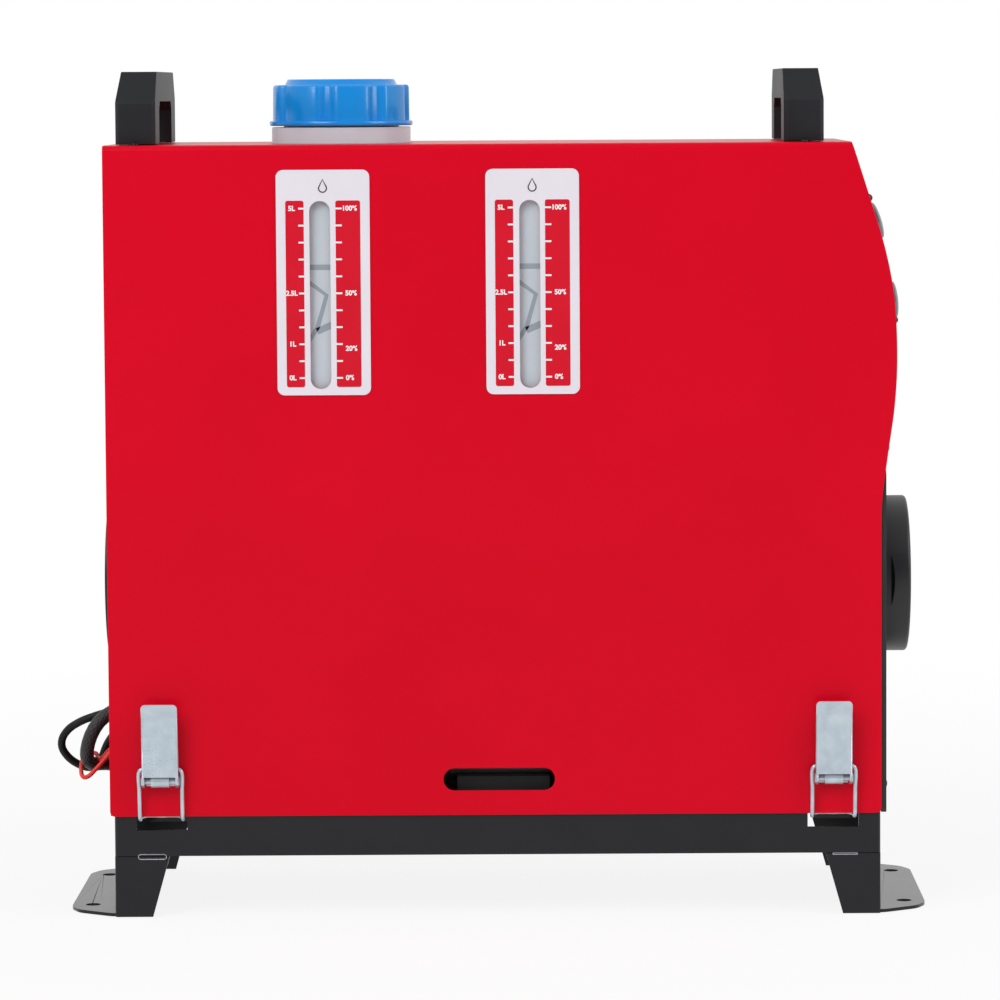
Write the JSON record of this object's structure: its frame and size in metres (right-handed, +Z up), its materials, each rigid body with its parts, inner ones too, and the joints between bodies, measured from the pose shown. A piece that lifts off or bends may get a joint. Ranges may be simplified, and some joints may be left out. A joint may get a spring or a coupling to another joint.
{
  "type": "diesel air heater",
  "caption": "Portable all-in-one diesel air heater: red hood with level windows over a black base on leg brackets, filler cap, carry handles, toggle latches and a round warm-air outlet.",
  "frame": {"origin": "on the floor, under the middle of the body, measured without the power lead and the cables at the rear", "axes": "+X towards the warm-air outlet, +Z up, -Y towards the side with the level windows"},
  "size_m": [0.4329, 0.3179, 0.41],
  "materials": {
    "red_paint": "glossy red powder coat",
    "black_paint": "satin black powder coat",
    "black_plastic": "fine-grained black moulding",
    "screen_glass": "clear cover over a dark display",
    "board_green": "lacquered circuit board",
    "button_silver": "silver-lacquered plastic",
    "tank_plastic": "translucent blow-moulded plastic",
    "blue_plastic": "glossy blue moulding",
    "black_rubber": "soft black rubber and cable jacket",
    "label_film": "printed film",
    "zinc_plate": "bright zinc plate",
    "cast_aluminium": "as cast",
    "burner_steel": "bare and heat-tinted steel",
    "red_insulation": "red wire insulation"
  },
  "bodies": {
    "heater_body": {"hood_shell": "red_paint", "rear_panel": "red_paint", "rear_grille": "black_plastic", "front_panel": "black_plastic", "control_bezel": "black_plastic", "lcd_screen": "screen_glass", "controller_board": "board_green", "base_pan": "black_paint", "leg_bracket_front": "black_paint", "leg_bracket_rear": "black_paint", "handle_front": "black_plastic", "handle_rear": "black_plastic", "fuel_tank": "tank_plastic", "level_label_rear": "label_film", "level_label_front": "label_film", "latch_bracket_near_rear": "zinc_plate", "latch_bracket_near_front": "zinc_plate", "latch_bracket_far_rear": "zinc_plate", "latch_bracket_far_front": "zinc_plate", "outlet_collar": "black_plastic", "outlet_guard": "black_plastic", "heater_case_lower": "black_plastic", "heater_case_upper": "black_plastic", "heat_exchanger": "cast_aluminium", "burner_housing": "cast_aluminium", "combustion_tube": "burner_steel", "glow_plug": "burner_steel", "blower_motor": "burner_steel", "heater_ecu": "black_plastic", "heater_stand": "burner_steel", "exhaust_pipe": "burner_steel", "intake_pipe": "burner_steel", "fuel_pump": "burner_steel", "pump_cradle": "black_rubber", "fuel_filter": "tank_plastic", "tank_hose": "black_rubber", "burner_hose": "black_rubber", "cable_entry": "black_rubber", "pump_harness": "black_rubber", "red_wire": "red_insulation", "power_lead": "black_rubber", "power_lead_coil": "black_rubber", "lead_connector": "black_plastic"},
    "latch_lever_near_rear": {"latch_lever_near_rear": "zinc_plate"},
    "latch_bail_near_rear": {"latch_bail_near_rear": "zinc_plate"},
    "latch_lever_near_front": {"latch_lever_near_front": "zinc_plate"},
    "latch_bail_near_front": {"latch_bail_near_front": "zinc_plate"},
    "latch_lever_far_rear": {"latch_lever_far_rear": "zinc_plate"},
    "latch_bail_far_rear": {"latch_bail_far_rear": "zinc_plate"},
    "latch_lever_far_front": {"latch_lever_far_front": "zinc_plate"},
    "latch_bail_far_front": {"latch_bail_far_front": "zinc_plate"},
    "power_button": {"power_button": "button_silver"},
    "menu_button": {"menu_button": "button_silver"},
    "down_button": {"down_button": "button_silver"},
    "up_button": {"up_button": "button_silver"},
    "cap_seal": {"cap_seal": "black_rubber"},
    "filler_cap": {"filler_cap": "blue_plastic"},
    "rotor": {"blower_shaft": "burner_steel", "heating_fan": "black_plastic", "combustion_impeller": "cast_aluminium"}
  },
  "joints": [
    {"name": "lever_swing_near_rear", "type": "hinge", "parent": "heater_body", "child": "latch_lever_near_rear", "pos_m": [-0.163, -0.0775, 0.0674], "axis": [1, 0, 0], "range_deg": [0, 135]},
    {"name": "bail_swing_near_rear", "type": "hinge", "parent": "latch_lever_near_rear", "child": "latch_bail_near_rear", "pos_m": [-0.163, -0.0775, 0.0732], "axis": [1, 0, 0], "range_deg": [-156, 0]},
    {"name": "lever_swing_near_front", "type": "hinge", "parent": "heater_body", "child": "latch_lever_near_front", "pos_m": [0.163, -0.0775, 0.0674], "axis": [1, 0, 0], "range_deg": [0, 135]},
    {"name": "bail_swing_near_front", "type": "hinge", "parent": "latch_lever_near_front", "child": "latch_bail_near_front", "pos_m": [0.163, -0.0775, 0.0732], "axis": [1, 0, 0], "range_deg": [-156, 0]},
    {"name": "lever_swing_far_rear", "type": "hinge", "parent": "heater_body", "child": "latch_lever_far_rear", "pos_m": [-0.163, 0.0775, 0.0674], "axis": [-1, 0, 0], "range_deg": [0, 135]},
    {"name": "bail_swing_far_rear", "type": "hinge", "parent": "latch_lever_far_rear", "child": "latch_bail_far_rear", "pos_m": [-0.163, 0.0775, 0.0732], "axis": [-1, 0, 0], "range_deg": [-156, 0]},
    {"name": "lever_swing_far_front", "type": "hinge", "parent": "heater_body", "child": "latch_lever_far_front", "pos_m": [0.163, 0.0775, 0.0674], "axis": [-1, 0, 0], "range_deg": [0, 135]},
    {"name": "bail_swing_far_front", "type": "hinge", "parent": "latch_lever_far_front", "child": "latch_bail_far_front", "pos_m": [0.163, 0.0775, 0.0732], "axis": [-1, 0, 0], "range_deg": [-156, 0]},
    {"name": "power_press", "type": "slide", "parent": "heater_body", "child": "power_button", "axis": [-0.9552, 0, -0.2959], "range_m": [0, 0.0005], "stiffness_N_per_m": 400},
    {"name": "menu_press", "type": "slide", "parent": "heater_body", "child": "menu_button", "axis": [-0.9552, 0, -0.2959], "range_m": [0, 0.0005], "stiffness_N_per_m": 400},
    {"name": "down_press", "type": "slide", "parent": "heater_body", "child": "down_button", "axis": [-0.9957, 0, -0.0928], "range_m": [0, 0.0005], "stiffness_N_per_m": 400},
    {"name": "up_press", "type": "slide", "parent": "heater_body", "child": "up_button", "axis": [-0.9957, 0, -0.0928], "range_m": [0, 0.0005], "stiffness_N_per_m": 400},
    {"name": "cap_turn", "type": "hinge", "parent": "cap_seal", "child": "filler_cap", "pos_m": [-0.076, 0, 0.39], "axis": [0, 0, 1], "range_deg": [0, 540]},
    {"name": "cap_rise", "type": "slide", "parent": "heater_body", "child": "cap_seal", "axis": [0, 0, 1], "range_m": [0, 0.006]},
    {"name": "rotor_spin", "type": "hinge", "parent": "heater_body", "child": "rotor", "pos_m": [0, 0, 0.159], "axis": [1, 0, 0], "continuous": true}
  ],
  "couplings": [
    {"joint": "bail_swing_near_rear", "follows": "lever_swing_near_rear", "ratio": -1.15},
    {"joint": "bail_swing_near_front", "follows": "lever_swing_near_front", "ratio": -1.15},
    {"joint": "bail_swing_far_rear", "follows": "lever_swing_far_rear", "ratio": -1.15},
    {"joint": "bail_swing_far_front", "follows": "lever_swing_far_front", "ratio": -1.15},
    {"joint": "cap_turn", "follows": "cap_rise", "rad_per_m": 1570.8}
  ]
}
